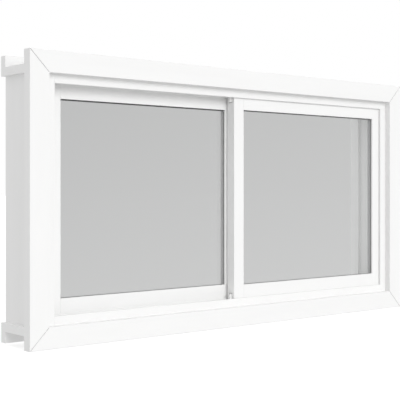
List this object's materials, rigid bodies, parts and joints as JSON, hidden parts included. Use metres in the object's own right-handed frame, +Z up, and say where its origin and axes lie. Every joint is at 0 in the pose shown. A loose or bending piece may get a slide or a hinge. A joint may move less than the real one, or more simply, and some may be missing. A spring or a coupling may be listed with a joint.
{
  "type": "sliding window",
  "caption": "Horizontal sliding window with a mitred brickmould, glazed front and rear sashes in a channelled frame, and a latch on the room side.",
  "frame": {"origin": "middle of the exposed back face of the brickmould below the sill channel, the face that rests on the wall's outer face", "axes": "+X along the window, to the right as seen from outside; +Y through the wall into the room; +Z up"},
  "size_m": [0.974, 0.0989, 0.508],
  "materials": {
    "vinyl_moulding": "smooth white extruded vinyl, low sheen",
    "vinyl_frame": "smooth white extruded vinyl, low sheen",
    "vinyl_sash": "smooth white extruded vinyl, low sheen",
    "glass": "clear float glass, faint grey tint",
    "spacer": "mill finish, grey",
    "nylon": "moulded white nylon",
    "pile": "woven grey pile",
    "latch": "white powder coat"
  },
  "bodies": {
    "root": {"brickmould_head": "vinyl_moulding", "brickmould_sill": "vinyl_moulding", "brickmould_left": "vinyl_moulding", "brickmould_right": "vinyl_moulding", "frame_head": "vinyl_frame", "frame_sill": "vinyl_frame", "frame_jamb_left": "vinyl_frame", "frame_jamb_right": "vinyl_frame", "front_sash_top_rail": "vinyl_sash", "front_sash_bottom_rail": "vinyl_sash", "front_sash_meeting_stile": "vinyl_sash", "front_sash_jamb_stile": "vinyl_sash", "front_sash_bead_top": "vinyl_sash", "front_sash_bead_bottom": "vinyl_sash", "front_sash_bead_left": "vinyl_sash", "front_sash_bead_right": "vinyl_sash", "front_sash_outer_pane": "glass", "front_sash_inner_pane": "glass", "front_sash_spacer": "spacer", "front_sash_glide_left": "nylon", "front_sash_glide_right": "nylon", "front_sash_pile": "pile", "rear_sash_top_rail": "vinyl_sash", "rear_sash_bottom_rail": "vinyl_sash", "rear_sash_meeting_stile": "vinyl_sash", "rear_sash_jamb_stile": "vinyl_sash", "rear_sash_bead_top": "vinyl_sash", "rear_sash_bead_bottom": "vinyl_sash", "rear_sash_bead_left": "vinyl_sash", "rear_sash_bead_right": "vinyl_sash", "rear_sash_outer_pane": "glass", "rear_sash_inner_pane": "glass", "rear_sash_spacer": "spacer", "rear_sash_glide_left": "nylon", "rear_sash_glide_right": "nylon", "rear_sash_pile": "pile", "guide_top": "nylon", "guide_bottom": "nylon", "latch_base": "latch", "latch_lever": "latch"}
  },
  "joints": []
}
